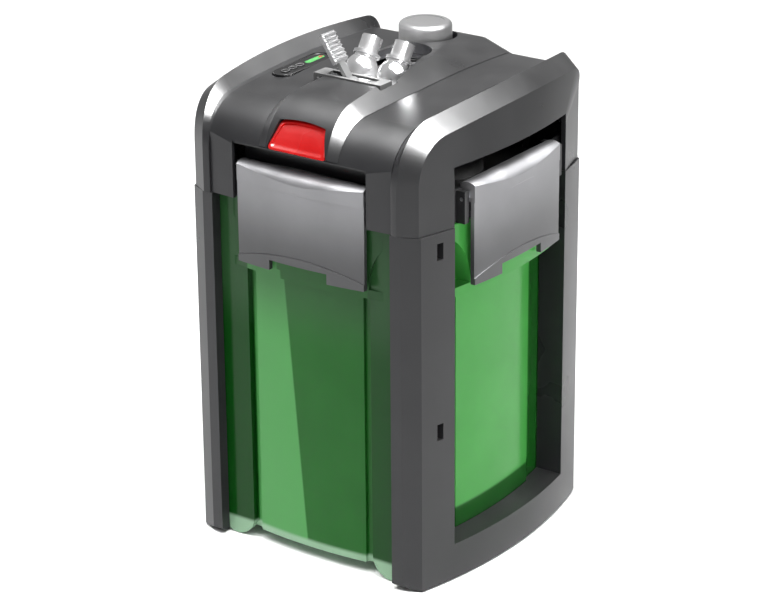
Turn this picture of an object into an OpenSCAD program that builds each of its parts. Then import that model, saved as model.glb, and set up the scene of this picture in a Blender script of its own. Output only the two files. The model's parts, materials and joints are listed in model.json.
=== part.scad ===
// Canister filter: canister in a two-sided frame, clipped-on pump head,
// hose adapter with shut-off lever, priming button and stacked media baskets.
// Millimetres. X right, Y back, Z up; origin on the floor under the centre.

/* [Body] */
// Width across the two side frames
frame_w = 238; // [226:1:260]
// Depth across the front and rear faces
frame_d = 237; // [226:1:260]
// Height of the seam between canister and head
seam_z = 285; // [265:1:360]
// Height of the head's crown above the seam
head_h = 78; // [74:1:90]
// Moulded wall thickness
wall = 3; // [2.5:0.1:4]
// Width of the window in each side frame
window_w = 151; // [140:1:156]
// Height of the sill under each side window
sill_h = 29.7; // [20:0.1:50]

/* [Clips] */
// Width of each closing clip
clip_w = 116; // [90:1:118]
// Height of each closing clip
clip_h = 79; // [70:1:90]
// Thickness of a clip's plate
clip_t = 4; // [3:0.1:5]
// How far the side clips stand proud of the frames
clip_proud = 3; // [1:0.1:6]
// Radius of the clip pins
pin_r = 1.5; // [1:0.1:2]

/* [Head] */
// Rise of the centre band over the cover
spine_rise = 9; // [6:0.5:12]
// Rise of the side arches over the cover
arch_rise = 9; // [6:0.5:12]
// Radius of the priming button
prime_r = 21; // [16:0.5:24]
// Height of the priming button over the crown
prime_h = 19; // [14:0.5:24]
// Radius of the hose spigots
nozzle_r = 8; // [6:0.1:9]
// Distance between the hose spigots
nozzle_gap = 30; // [27:0.5:32]
// Length of the shut-off lever from its pivot
lever_l = 42.5; // [36:0.5:48]
// Lean of the lever at rest
lever_lean = 33; // [20:1:35]

/* [Inside] */
// Number of slots in each basket floor
slots = 9; // [5:1:13]
// Number of impeller blades
blades = 6; // [4:1:8]
// Radius of the down tube
tube_r = 9; // [7:0.5:11]

/* [Hidden] */
$fn = 96;
fine = 384;

gap = 0.3;
run = 0.05;
hw = frame_w / 2;
hd = frame_d / 2;
side_bow = 400;
front_bow = 1000;
clip_bow = 400;
foot_h = 1.2;

// Corner facet of the plan outline, as a rhombus
corner_x = hw - 29.3;
corner_y = hd - 3.5;
corner_c = 1 / sqrt(5);
corner_s = 2 / sqrt(5);
corner_d = corner_c * corner_x + corner_s * corner_y;
post_x = hw - 37.5;

// Canister outline
can_hw = hw - 20.5;
can_hd = hd - 11;
can_floor = 9;
panel_hw = 50;
panel_rise = 3;
can_corner = norm([can_hw, can_hd]) * 0.871;
ledge_z = seam_z - 57;
ledge_h = 7;
tongue_w = 34;
tongue_x = post_x - 7.5;
tongue_y = can_hd - 2;
tongue_t = 6;
tongue_root = max(0, pow(post_x, 2) / (2 * side_bow) + panel_rise - 7);

// Side profile of the head
yf = hd - 2.5;
crown_r = 1200;
crown_y = 30;
crown_top = seam_z + head_h;
crown_z = crown_top - crown_r;
shoulder_r = 38;
rear_r = 18;
shoulder_y = -yf + shoulder_r;
shoulder_z = crown_z + sqrt(pow(crown_r - shoulder_r, 2) - pow(shoulder_y - crown_y, 2));
rear_y = yf - rear_r;
rear_z = crown_z + sqrt(pow(crown_r - rear_r, 2) - pow(rear_y - crown_y, 2));
a_shoulder = atan2(shoulder_z - crown_z, shoulder_y - crown_y);
a_rear = atan2(rear_z - crown_z, rear_y - crown_y);
tan_shoulder = crown_y + crown_r * cos(a_shoulder);
tan_rear = crown_y + crown_r * cos(a_rear);
cover_x = post_x + 1.2;
head_z = seam_z + gap;

// Clips
clip_top = seam_z + 30;
clip_bottom = clip_top - clip_h;
roll_r = 11;
axis_z = clip_top - roll_r;
recess_z = seam_z + 45;
recess_hw = clip_w / 2 + 2;
button_r = 120;
ear_in = recess_hw + 0.4;
ear_out = ear_in + 5.6;
notch_hw = 26.5;
back_d = 2 * roll_r - 2.8;
notch_h = 8;

// Head base
rim_in = 7.2;
rim_z = seam_z + 26;
plug_z = seam_z - 17;

// Openings in the top
well_z = crown_top - 23;
prime_y = 80;
well_y = 32;
well_r = prime_y - prime_r - 4.6 - well_y;
lever_x = -6;
lever_y = -39;
lever_z = crown_top + 1;
hub_r = 5;
noz_x = -7;
noz_y = -4;
noz_z = crown_top + 1;
noz_tilt = 35;
noz_l = 26;
bulb_r = 12.6;
ball_r = 6.5;
prime_x = -21;
prime_top = crown_top + prime_h;
piston_r = 12;
piston_z = seam_z + 44;
key_x = -70;
lens_y = -15;
lens_l = 64;
lens_w = 17;
key_y = lens_y - 12;
key_pitch = 9;
motor_x = 36;
motor_y = 22;
motor_r = 30;
gland_x = 11.2 - cover_x;
gland_z = seam_z + 20;
rotor_r = 10;
rotor_z = seam_z + 8;
rotor_h = 32;
shaft_r = 1.5;
tube_x = -72;
tube_y = -70;
basket_h = 58;
basket_z = [20, 80, 140];
tray_z = 200;

function mix(a, b, t) = a + (b - a) * t;
function clamp01(t) = min(1, max(0, t));
function ease(t) = clamp01(t) * clamp01(t) * (3 - 2 * clamp01(t));
function clip_c(k) = k % 2 == 0 ? hd + gap : hw + clip_proud;

// Point on the head's side profile: u runs from the front seam over the crown to the rear seam
function prof(u, n) =
    u < 1 ? [-yf - n, mix(head_z, shoulder_z, u)] :
    u < 2 ? arc_pt(shoulder_y, shoulder_z, shoulder_r + n, mix(180, a_shoulder, u - 1)) :
    u < 3 ? arc_pt(crown_y, crown_z, crown_r + n, mix(a_shoulder, a_rear, u - 2)) :
    u < 4 ? arc_pt(rear_y, rear_z, rear_r + n, mix(a_rear, 0, u - 3)) :
    [yf + n, mix(rear_z, head_z, u - 4)];
function arc_pt(y, z, r, a) = [y + r * cos(a), z + r * sin(a)];
function lift(u) = ease(u - 1) * (1 - ease(u - 3));

// Lower edge of an arch's side wall, around the side window
function side_y(u) = mix(-71, -66, clamp01(u - 1)) + mix(0, 132, clamp01(u - 2))
    + mix(0, 5, clamp01(u - 3));
function side_z(u) = u < 1 ? mix(head_z, shoulder_z, u) :
    u < 4 ? shoulder_z : mix(shoulder_z, head_z, u - 4);
function side_x(y) = hw - y * y / (2 * side_bow);
function edge_x(y) = hw - 7 - y * y / 1405;

function arch_ring(u) = let (
    b = lift(u),
    y0 = prof(u, 0)[0],
    e = edge_x(y0),
    s = side_y(u))
    [at(cover_x + gap, prof(u, -0.6)),
     at(cover_x + mix(1.3, 4, b), prof(u, -0.2)),
     at(e - 14, prof(u, mix(0, arch_rise, b))),
     at(e, prof(u, mix(-8, -1.5, b))),
     at(side_x(s), [s, side_z(u)]),
     at(side_x(s) - 4, [s, side_z(u)]),
     at(e - 4, prof(u, mix(-12, -5.5, b))),
     at(e - 15, prof(u, mix(-4, arch_rise - 4.5, b))),
     at(cover_x + gap, prof(u, -4.4))];
function spine_ring(u) = let (
    b = lift(u),
    t = clamp01((prof(u, 0)[0] + yf) / 170),
    h = mix(2.4, spine_rise, b),
    wi = mix(28, 17, t),
    wo = mix(36, 42, ease(t * 1.6)))
    [at(-wo, prof(u, gap)), at(-wi, prof(u, h)), at(wi, prof(u, h)), at(wo, prof(u, gap))];
function at(x, p) = [x, p[0], p[1]];

module skin(rings) {
    m = len(rings[0]);
    n = len(rings);
    pts = [for (r = rings) for (p = r) p];
    walls = [for (i = [0:n - 2]) for (j = [0:m - 1]) let (k = (j + 1) % m)
        each [[i * m + j, (i + 1) * m + k, i * m + k], [i * m + j, (i + 1) * m + j, (i + 1) * m + k]]];
    first = [for (j = [0:m - 1]) j];
    last = [for (j = [m - 1:-1:0]) (n - 1) * m + j];
    polyhedron(pts, concat(walls, [first], [last]), convexity = 8);
}

// Plan outline of frames and head, drawn in by a distance
module plan(in = 0) {
    intersection() {
        plan_side(in);
        plan_front(in);
        plan_corner(in);
    }
}
module plan_side(in) {
    intersection() {
        translate([hw - side_bow, 0]) circle(side_bow - in, $fn = fine);
        translate([side_bow - hw, 0]) circle(side_bow - in, $fn = fine);
    }
}
module plan_front(in) {
    intersection() {
        translate([0, hd - front_bow]) circle(front_bow - in, $fn = fine);
        translate([0, front_bow - hd]) circle(front_bow - in, $fn = fine);
    }
}
module plan_corner(in) {
    x = (corner_d - in) / corner_c;
    y = (corner_d - in) / corner_s;
    polygon([[x, 0], [0, y], [-x, 0], [0, -y]]);
}

// Canister outline with raised centre panels, drawn in by a distance
module can_plan(in = 0) {
    intersection() {
        can_bows(can_hw - panel_rise - in, can_hd - panel_rise - in);
        circle(can_corner - in);
    }
    intersection() {
        can_bows(can_hw - in, can_hd - in);
        union() {
            square([2 * (panel_hw - in), 2 * hd], center = true);
            square([2 * hw, 2 * (panel_hw - in)], center = true);
        }
    }
}
module can_bows(x, y) {
    intersection() {
        translate([x - side_bow, 0]) circle(side_bow, $fn = fine);
        translate([side_bow - x, 0]) circle(side_bow, $fn = fine);
        translate([0, y - side_bow]) circle(side_bow, $fn = fine);
        translate([0, side_bow - y]) circle(side_bow, $fn = fine);
    }
}

// Turns a front feature to each of the four faces
module on_face(k) {
    rotate([0, 0, 90 * k]) children();
}
module along_x(w) {
    translate([-w / 2, 0, 0]) rotate([90, 0, 90]) linear_extrude(w) children();
}
module side_profile(out = 0) {
    difference() {
        intersection() {
            translate([crown_y, crown_z]) circle(crown_r + out, $fn = fine);
            translate([-yf - out, seam_z - 1]) square([2 * (yf + out), 200]);
        }
        translate([-yf - 20, shoulder_z]) square([tan_shoulder + yf + 20, 100]);
        translate([tan_rear, rear_z]) square([yf + 20 - tan_rear, 100]);
    }
    translate([shoulder_y, shoulder_z]) intersection() {
        circle(shoulder_r + out);
        translate([-shoulder_r - 20, 0]) square([tan_shoulder - shoulder_y + shoulder_r + 20, 90]);
    }
    translate([rear_y, rear_z]) intersection() {
        circle(rear_r + out);
        translate([tan_rear - rear_y, 0]) square([rear_r + 20, 90]);
    }
}
module y_pin(r, l) {
    rotate([-90, 0, 0]) cylinder(r = r, h = l);
}
module x_pin(r, l) {
    rotate([0, 90, 0]) cylinder(r = r, h = l);
}

// Clip-shaped bow behind a face at distance c, and its outline band
module bow(c, w, depth) {
    intersection() {
        translate([0, clip_bow - c]) circle(clip_bow, $fn = fine);
        translate([-w / 2, -c - 1]) square([w, depth + 1]);
    }
}
module bow_band(c, w, t) {
    difference() {
        bow(c, w, 24);
        translate([0, clip_bow - c]) circle(clip_bow - t, $fn = fine);
    }
}

// Frames
module frame_side() {
    difference() {
        translate([0, 0, foot_h]) linear_extrude(seam_z - foot_h) difference() {
            intersection() {
                plan();
                translate([post_x, -hd]) square([hw, 2 * hd]);
            }
            can_plan(-0.5);
        }
        translate([0, -window_w / 2, sill_h]) cube([hw + 9, window_w, seam_z]);
        along_x(2 * hw + 9) difference() {
            translate([-hd - 1, -1]) square([14, 13 + foot_h]);
            translate([-hd + 12, 12 + foot_h]) circle(12);
            translate([-hd + 12, -2]) square([9, 20]);
        }
        along_x(2 * hw + 9) difference() {
            translate([hd - 18, -1]) square([20, 19 + foot_h]);
            translate([hd - 18, 18 + foot_h]) circle(18);
        }
        for (z = [seam_z - 21, seam_z - 164]) translate([hw - 15, -hd + 25.5, z]) cube([20, 6, 13]);
        for (s = [-1, 1]) scale([1, s, 1]) tongue_pocket();
        feet(0.02);
    }
}
module tongue_pocket() {
    translate([post_x - 1, -tongue_y - 0.5, 0])
        cube([tongue_x + tongue_w / 2 - post_x + 1.5, 20, seam_z + 1]);
}
module feet(grow) {
    for (y = [-68, 68]) translate([can_hw + 8, y, 0]) cylinder(r = 5 + grow, h = 4 + grow);
}
module frame_right() {
    color([0.3, 0.3, 0.31]) frame_side();
}
module frame_left() {
    color([0.3, 0.3, 0.31]) mirror([1, 0, 0]) frame_side();
}
module rubber_feet() {
    color([0.12, 0.12, 0.12]) for (s = [0, 1]) mirror([s, 0, 0]) feet(0);
}

// Canister
module canister() {
    color([0.1, 0.5, 0.15, 0.6]) difference() {
        union() {
            translate([0, 0, can_floor]) linear_extrude(seam_z - can_floor - gap) can_plan();
            for (k = [0, 2], s = [-1, 1]) on_face(k) tongue(s);
        }
        translate([0, 0, can_floor + wall]) linear_extrude(seam_z) can_plan(wall);
    }
}
module clip_collars() {
    color([0.1, 0.5, 0.15, 0.6]) difference() {
        union() {
            for (k = [0, 2]) on_face(k) collar(can_hd + 4, 79, can_hd - 9);
            for (k = [1, 3]) on_face(k) collar(can_hw + 15, window_w / 2 - 0.8, can_hw - 9);
        }
        translate([0, 0, can_floor]) linear_extrude(seam_z) can_plan(-0.02);
        for (k = [0, 2], s = [-1, 1]) on_face(k) tongue_slot(s);
    }
}
module tongue_slot(s) {
    translate([s * tongue_x - tongue_w / 2 - 0.02, -tongue_y - 0.02, 0])
        cube([tongue_w + 0.04, 9 + tongue_root, seam_z]);
}
module collar(c, half_w, back) {
    intersection() {
        translate([0, 0, ledge_z]) linear_extrude(seam_z - gap - ledge_z) bow(c, 2 * half_w, c - back);
        union() {
            translate([0, hd, 0]) rotate([90, 0, 0]) linear_extrude(3 * hd) shield(half_w);
            translate([-half_w, -c - 1, ledge_z]) cube([2 * half_w, c - back + 9, ledge_h]);
        }
    }
    translate([0, 0, clip_bottom + 0.5]) linear_extrude(notch_h - 1)
        bow(c + 3.5, 2 * notch_hw - 1.5, c - back);
}
module shield(half_w) {
    difference() {
        translate([-half_w, ledge_z]) square([2 * half_w, seam_z - ledge_z]);
        for (s = [-1, 1]) translate([s * (half_w + 21), ledge_z + 10]) circle(43);
    }
}
module tongue(s) {
    r = tongue_w / 2;
    translate([s * tongue_x, tongue_t - tongue_y, r + 0.5]) {
        translate([-r, -tongue_t, 0]) cube([tongue_w, tongue_t + tongue_root, seam_z - r - 1]);
        rotate([90, 0, 0]) cylinder(r = r, h = tongue_t);
    }
}

// Head base with the plug that enters the canister
module head_base() {
    color([0.2, 0.2, 0.21]) {
        difference() {
            union() {
                translate([0, 0, head_z]) linear_extrude(rim_z - head_z) plan(rim_in);
                translate([0, 0, plug_z]) linear_extrude(head_z - plug_z) can_plan(wall + 0.4);
                for (k = [0:3]) on_face(k) ears(k);
            }
            translate([0, 0, seam_z + 4]) linear_extrude(60) difference() {
                plan(rim_in + wall);
                for (k = [0:3]) on_face(k) ear_block(k);
            }
            translate([0, 0, plug_z - 1]) linear_extrude(seam_z - plug_z) can_plan(2 * wall + 0.4);
            translate([0, 0, seam_z - 13]) linear_extrude(5) difference() {
                can_plan(wall - 1);
                can_plan(wall + 2);
            }
            for (k = [0:3]) on_face(k) {
                c = clip_c(k);
                translate([-recess_hw, -c - 1, seam_z + 4]) cube([2 * recess_hw, 2 * roll_r + 2, 60]);
                translate([-recess_hw, -c - 9, seam_z]) cube([2 * recess_hw, 18, 5]);
                translate([-ear_out, -c + roll_r, axis_z]) x_pin(pin_r, 2 * ear_out);
            }
            translate([motor_x, motor_y, plug_z]) cylinder(r = rotor_r + 3, h = 60);
            translate([prime_x, prime_y, plug_z]) cylinder(r = prime_r - 4, h = 60);
        }
    }
}
module ears(k) {
    translate([0, 0, head_z]) linear_extrude(axis_z + 6 - head_z) ear_block(k);
}
module ear_block(k) {
    c = clip_c(k) - roll_r;
    for (s = [-1, 1]) translate([s * (ear_in + ear_out) / 2, -c + 5])
        square([ear_out - ear_in, 16], center = true);
}
module head_gasket() {
    color([0.1, 0.1, 0.1]) translate([0, 0, seam_z - 12.9]) linear_extrude(4.8) difference() {
        can_plan(wall + 0.02);
        can_plan(wall + 1.95);
    }
}

// Head cover
module head_cover() {
    color([0.29, 0.29, 0.3]) difference() {
        intersection() {
            along_x(2 * cover_x) side_profile();
            translate([0, 0, head_z]) linear_extrude(200) plan(1.5);
        }
        intersection() {
            union() {
                along_x(2 * (cover_x - wall)) side_profile(-wall);
                translate([-hw, -yf + wall, head_z - 5])
                    cube([2 * hw, 2 * (yf - wall), rim_z - head_z + 6]);
            }
            translate([0, 0, head_z - 5]) linear_extrude(200) plan(1.5 + wall);
        }
        for (k = [0, 2]) on_face(k) translate([-recess_hw - 1, -hd - 1, head_z - 1])
            cube([2 * recess_hw + 2, 12, recess_z - head_z + 1]);
        button_block(gap + 0.1, 40);
        translate([0, 0, well_z]) linear_extrude(60) well_plan(0);
        translate([prime_x, prime_y, seam_z + 20]) cylinder(r = prime_r + 4.5, h = 100);
        translate([key_x, lens_y, crown_top - 20]) linear_extrude(40) stadium(lens_w + 1, lens_l + 1);
        translate([gland_x, yf - 10, gland_z]) y_pin(7, 20);
    }
    recess_backs();
}
module recess_backs() {
    color([0.1, 0.1, 0.1]) translate([-10, back_d - yf, recess_z - 3]) cube([20, 2, 19]);
    color([0.1, 0.1, 0.1]) for (k = [0, 2]) on_face(k) translate([-recess_hw - 3, -yf, 0]) {
        translate([0, back_d, rim_z + 1]) cube([2 * recess_hw + 6, 2, recess_z - rim_z - 1]);
        translate([0, wall - 0.4, recess_z - 1.7]) cube([2 * recess_hw + 6, back_d + 2.4 - wall, 2]);
    }
}

// Arches
module arch_side() {
    difference() {
        skin([for (u = stations) arch_ring(u)]);
        translate([hw - 24, -window_w / 2, seam_z - 1]) cube([40, window_w, 47]);
    }
}
stations = [for (i = [0:3]) i / 4, for (i = [0:15]) 1 + i / 16, for (i = [0:19]) 2 + i / 20,
            for (i = [0:11]) 3 + i / 12, for (i = [0:4]) 4 + i / 4];
module arch_right() {
    color([0.3, 0.3, 0.31]) arch_side();
}
module arch_left() {
    color([0.3, 0.3, 0.31]) mirror([1, 0, 0]) arch_side();
}

// Raised centre band
spine_start = 1 + asin((recess_z + 1 - shoulder_z) / shoulder_r) / (180 - a_shoulder);
module centre_fascia() {
    color([0.29, 0.29, 0.3]) difference() {
        skin([spine_ring(spine_start),
              for (u = stations) if (u > spine_start + 0.01 && u <= 4) spine_ring(u)]);
        button_block(gap, 40);
        translate([0, 0, well_z]) linear_extrude(60) well_plan(0);
        translate([prime_x, prime_y, seam_z + 20]) cylinder(r = prime_r + 4, h = 100);
    }
}

// Red release button
module button_block(grow, depth) {
    intersection() {
        translate([0, depth - yf, 0]) rotate([90, 0, 0]) linear_extrude(depth + 20) intersection() {
            polygon([[-27 - grow, recess_z + 0.8 - grow], [27 + grow, recess_z + 0.8 - grow],
                     [20.5 + grow, recess_z + 24], [-20.5 - grow, recess_z + 24]]);
            translate([0, recess_z + 23.8 - button_r]) circle(button_r + grow);
        }
        translate([-60, -yf - 20, recess_z]) cube([120, depth + 20, 60]);
    }
}

module red_button() {
    color([0.85, 0.08, 0.07]) {
        difference() {
            intersection() {
                button_block(0, 12);
                along_x(60) side_profile(3.4);
            }
            intersection() {
                translate([0, -1.5, 0]) button_face();
                along_x(60) difference() {
                    side_profile(9);
                    side_profile(2);
                }
            }
            translate([0, 9 - yf, recess_z + 8]) y_pin(5, 9);
        }
        translate([0, 8 - yf, recess_z + 8]) y_pin(2, 7);
    }
}
module button_face() {
    translate([0, 30 - yf, 0]) rotate([90, 0, 0]) linear_extrude(60) intersection() {
        polygon([[-24, recess_z + 3.5], [24, recess_z + 3.5], [18, recess_z + 24], [-18, recess_z + 24]]);
        translate([0, recess_z + 23.8 - button_r]) circle(button_r - 3);
    }
}
module red_button_spring() {
    color([0.7, 0.7, 0.72]) translate([0, 9.3 - yf, recess_z + 8]) rotate([-90, 0, 0])
        coil_spring(3.4, 0.4, 5, 9);
}
module coil_spring(r, wire, turns, h) {
    steps = 14;
    skin([for (i = [0:turns * steps])
        let (a = 360 * i / steps, z = wire + (h - 2 * wire) * i / (turns * steps))
        [for (q = [300:-60:0]) let (w = r + wire * cos(q)) [w * cos(a), w * sin(a), z + wire * sin(q)]]]);
}

// Well in the top for the adapter, drawn in by a distance
module well_plan(in = 0) {
    translate([-38 + in, -49 + in]) square([66 - 2 * in, 22 - in]);
    polygon([[-38 + in, -30], [27 - in, -30], [13 - in, well_y], [-31 + in, well_y]]);
    translate([-9, well_y]) circle(well_r - in);
}
module adapter_well() {
    color([0.16, 0.16, 0.17]) difference() {
        translate([0, 0, well_z - 4]) linear_extrude(20) well_plan(0.4);
        translate([0, 0, well_z - 2]) linear_extrude(20) well_plan(2);
    }
}
module lever_gate() {
    color([0.22, 0.22, 0.23]) difference() {
        union() {
            translate([-35.6, -46.6, crown_top + 5]) cube([61.2, 15, 2]);
            for (x = [-35.6, 22.6]) translate([x, -46.6, well_z - 1.7])
                cube([3, 15, 8 + crown_top - well_z]);
        }
        translate([-26, lever_y - 4.5, crown_top]) cube([43, 9, 20]);
    }
}

// Hose adapter: two elbows on a base block
module adapter_body() {
    color([0.8, 0.8, 0.8]) difference() {
        union() {
            translate([0, 0, well_z - 1.7]) linear_extrude(18) intersection() {
                well_plan(2.5);
                translate([-50, -26]) square([100, 90]);
            }
            for (s = [-1, 1]) spigot(s) {
                sphere(bulb_r);
                cylinder(r = nozzle_r + 0.8, h = bulb_r + 0.6);
                cylinder(r = nozzle_r, h = noz_l);
            }
        }
        for (s = [-1, 1]) spigot(s) {
            sphere(ball_r + run);
            cylinder(r = nozzle_r - 3.4, h = noz_l + 1);
        }
        for (s = [-1, 1]) translate([noz_x + s * nozzle_gap / 2, noz_y, well_z - 3])
            cylinder(r = 4.5, h = 20);
        translate([-22, 14, crown_top - 6]) cube([32, 40, 20]);
    }
}
module spigot(s) {
    translate([noz_x + s * nozzle_gap / 2, noz_y, noz_z]) rotate([-noz_tilt, 0, 0]) children();
}
module spigot_rings() {
    color([0.6, 0.6, 0.6]) for (s = [-1, 1]) spigot(s) translate([0, 0, bulb_r - 1.8]) difference() {
        cylinder(r = nozzle_r + 2.4, h = 2.4);
        translate([0, 0, -1]) cylinder(r = nozzle_r + 0.8, h = 5);
        translate([0, 0, 1.8 - bulb_r]) sphere(bulb_r);
    }
}
module valve_ball(s) {
    color([0.85, 0.85, 0.85]) spigot(s) difference() {
        sphere(ball_r);
        translate([0, 0, -10]) cylinder(r = 3.5, h = 20);
    }
}
module valve_ball_left() {
    valve_ball(-1);
}
module valve_ball_right() {
    valve_ball(1);
}

// Shut-off lever
module lever() {
    color([0.8, 0.8, 0.8]) translate([lever_x, lever_y, lever_z]) rotate([0, -lever_lean, 0]) difference() {
        union() {
            translate([0, -4, 0]) y_pin(hub_r, 8);
            translate([-1.5, -3.5, 0]) cube([3, 7, 20]);
            translate([-1.5, -8, 18]) cube([3, 16, lever_l - 18]);
            for (i = [0:6]) translate([1, -8, 19.4 + i * 3.3]) cube([1.5, 16, 1.5]);
        }
        translate([0, -7, 0]) y_pin(1.5 + run, 14);
    }
}
module lever_pin() {
    color([0.7, 0.7, 0.72]) translate([lever_x, lever_y - 7.2, lever_z]) y_pin(1.5, 14.4);
    color([0.22, 0.22, 0.23]) for (s = [-1, 1])
        translate([lever_x - 3, lever_y + s * 6 - 0.9, well_z - 1.7])
            cube([6, 1.8, lever_z + 1.7 - well_z + 2.4]);
}

// Priming button with its piston
module priming_button() {
    color([0.66, 0.66, 0.67]) translate([prime_x, prime_y, 0]) {
        rotate_extrude() button_section();
        translate([0, 0, piston_z]) cylinder(r = 4, h = prime_top - piston_z - 3);
        translate([0, 0, piston_z]) cylinder(r = piston_r - 1.2, h = 5);
    }
}
module button_section() {
    difference() {
        union() {
            translate([0, crown_top - 6]) square([prime_r, prime_top - crown_top + 2]);
            translate([0, prime_top - 4]) square([prime_r - 4, 4]);
            translate([prime_r - 4, prime_top - 4]) circle(4);
        }
        translate([0, crown_top - 7]) square([prime_r - 2.5, prime_top - crown_top + 3]);
        translate([0, prime_top - 0.6]) square([prime_r - 6, 2]);
    }
}
module priming_cylinder() {
    color([0.2, 0.2, 0.21]) translate([prime_x, prime_y, 0]) difference() {
        union() {
            translate([0, 0, seam_z + 4]) cylinder(r = piston_r + 2.5, h = head_h - 20);
            translate([0, 0, crown_top - 27]) cylinder(r = prime_r + 4, h = 3);
            translate([0, 0, crown_top - 27]) difference() {
                cylinder(r = prime_r + 4, h = 21);
                translate([0, 0, -1]) cylinder(r = prime_r + 2.6, h = 40);
            }
        }
        translate([0, 0, seam_z + 5.5]) cylinder(r = piston_r, h = head_h);
        cylinder(r = 5, h = seam_z + 9);
    }
}
module piston_seal() {
    color([0.1, 0.1, 0.1]) translate([prime_x, prime_y, piston_z + 1]) difference() {
        cylinder(r = piston_r - run, h = 3);
        translate([0, 0, -1]) cylinder(r = piston_r - 1.18, h = 5);
    }
}
module priming_spring() {
    color([0.7, 0.7, 0.72]) translate([prime_x, prime_y, seam_z + 5.6])
        coil_spring(8, 0.7, 7, piston_z - seam_z - 5.8);
}

// Control panel
module stadium(w, l) {
    square([w, l - w], center = true);
    for (s = [-1, 1]) translate([0, s * (l - w) / 2]) circle(w / 2);
}
module control_lens() {
    color([0.05, 0.05, 0.06]) difference() {
        translate([key_x, lens_y, crown_top - 8]) linear_extrude(7.2) stadium(lens_w, lens_l);
        for (i = [-1:1]) translate([key_x, key_y + i * key_pitch, crown_top - 9])
            linear_extrude(20) stadium(6.6, 8.6);
        translate([key_x, lens_y + 16, crown_top - 2]) linear_extrude(5) stadium(5.4, 22.4);
    }
}
module key(i) {
    color([0.15, 0.15, 0.16]) translate([key_x, key_y + i * key_pitch, crown_top - 6.5])
        linear_extrude(6.2) stadium(6, 8);
}
module key_down() {
    key(-1);
}
module key_mode() {
    key(0);
}
module key_up() {
    key(1);
}
module light_bar() {
    color([0.2, 0.7, 0.25]) translate([key_x, lens_y + 16, crown_top - 2])
        linear_extrude(1.4) stadium(5, 22);
}
module circuit_board() {
    color([0.05, 0.3, 0.12]) translate([key_x - 7.5, lens_y - 30, crown_top - 10]) cube([15, 60, 1.6]);
    color([0.05, 0.05, 0.06]) for (y = [-16, 4, 18]) translate([key_x - 4, lens_y + y, crown_top - 12])
        cube([8, 7, 2]);
}

// Pump
module motor_housing() {
    color([0.15, 0.15, 0.16]) difference() {
        union() {
            translate([motor_x, motor_y, seam_z + 4]) cylinder(r = motor_r, h = 44);
            translate([motor_x, motor_y, seam_z - 8]) cylinder(r = rotor_r + 2.5, h = 14);
        }
        translate([motor_x, motor_y, seam_z - 9])
            cylinder(r = rotor_r + 0.6, h = rotor_z - seam_z + rotor_h + 14.5);
        translate([motor_x, motor_y, seam_z + 8]) difference() {
            cylinder(r = motor_r - 2, h = 36);
            translate([0, 0, -1]) cylinder(r = rotor_r + 2, h = 38);
        }
    }
}
module stator_core() {
    color([0.5, 0.5, 0.52]) translate([motor_x, motor_y, seam_z + 14]) difference() {
        cylinder(r = motor_r - 2.5, h = 18);
        translate([0, 0, -1]) cylinder(r = rotor_r + 2.4, h = 20);
        for (a = [0, 180]) rotate(a) translate([rotor_r + 5, -12, -1]) cube([8, 24, 20]);
    }
}
module coil() {
    color([0.7, 0.4, 0.2]) translate([motor_x, motor_y, seam_z + 14.5])
        for (a = [0, 180]) rotate(a) translate([rotor_r + 5.4, -11.6, 0]) cube([7.2, 23.2, 17]);
}
module ceramic_shaft() {
    color([0.9, 0.9, 0.88]) translate([motor_x, motor_y, seam_z - 17])
        cylinder(r = shaft_r, h = rotor_h + 30);
}
module shaft_bushes() {
    color([0.1, 0.1, 0.1]) for (z = [seam_z - 18.5, rotor_z + rotor_h + 2]) translate([motor_x, motor_y, z])
        difference() {
            cylinder(r = z < seam_z ? 5 : rotor_r + 0.6, h = 3.5);
            translate([0, 0, z < seam_z ? 1.5 : -1]) cylinder(r = shaft_r, h = z < seam_z ? 5 : 4);
        }
}
module magnet_rotor() {
    color([0.3, 0.3, 0.32]) translate([motor_x, motor_y, rotor_z]) difference() {
        cylinder(r = rotor_r, h = rotor_h);
        translate([0, 0, -1]) cylinder(r = shaft_r + run, h = rotor_h + 2);
    }
}
module impeller() {
    color([0.85, 0.85, 0.85]) translate([motor_x, motor_y, 0]) difference() {
        union() {
            translate([0, 0, seam_z - 13.5]) cylinder(r = 4, h = rotor_z - seam_z + 13.5);
            for (i = [1:blades]) rotate(i * 360 / blades) translate([3, -0.8, seam_z - 13.5])
                cube([13, 1.6, 5]);
        }
        translate([0, 0, seam_z - 20]) cylinder(r = shaft_r + run, h = 60);
    }
}
module pump_cover() {
    color([0.2, 0.2, 0.21]) translate([motor_x, motor_y, seam_z - 20]) difference() {
        cylinder(r = 20, h = 11.6);
        translate([0, 0, 1.5]) cylinder(r = 18, h = 20);
        for (i = [0:5]) rotate(i * 60) translate([10, 0, -1]) cylinder(r = 2.6, h = 4);
    }
}
module cable_gland() {
    color([0.12, 0.12, 0.12]) translate([gland_x, yf - 4.4, gland_z]) difference() {
        union() {
            y_pin(6.9, 7);
            translate([0, 3.6, 0]) y_pin(8.5, 1.4);
        }
        translate([0, -1, 0]) y_pin(3.4, 20);
    }
}

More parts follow.
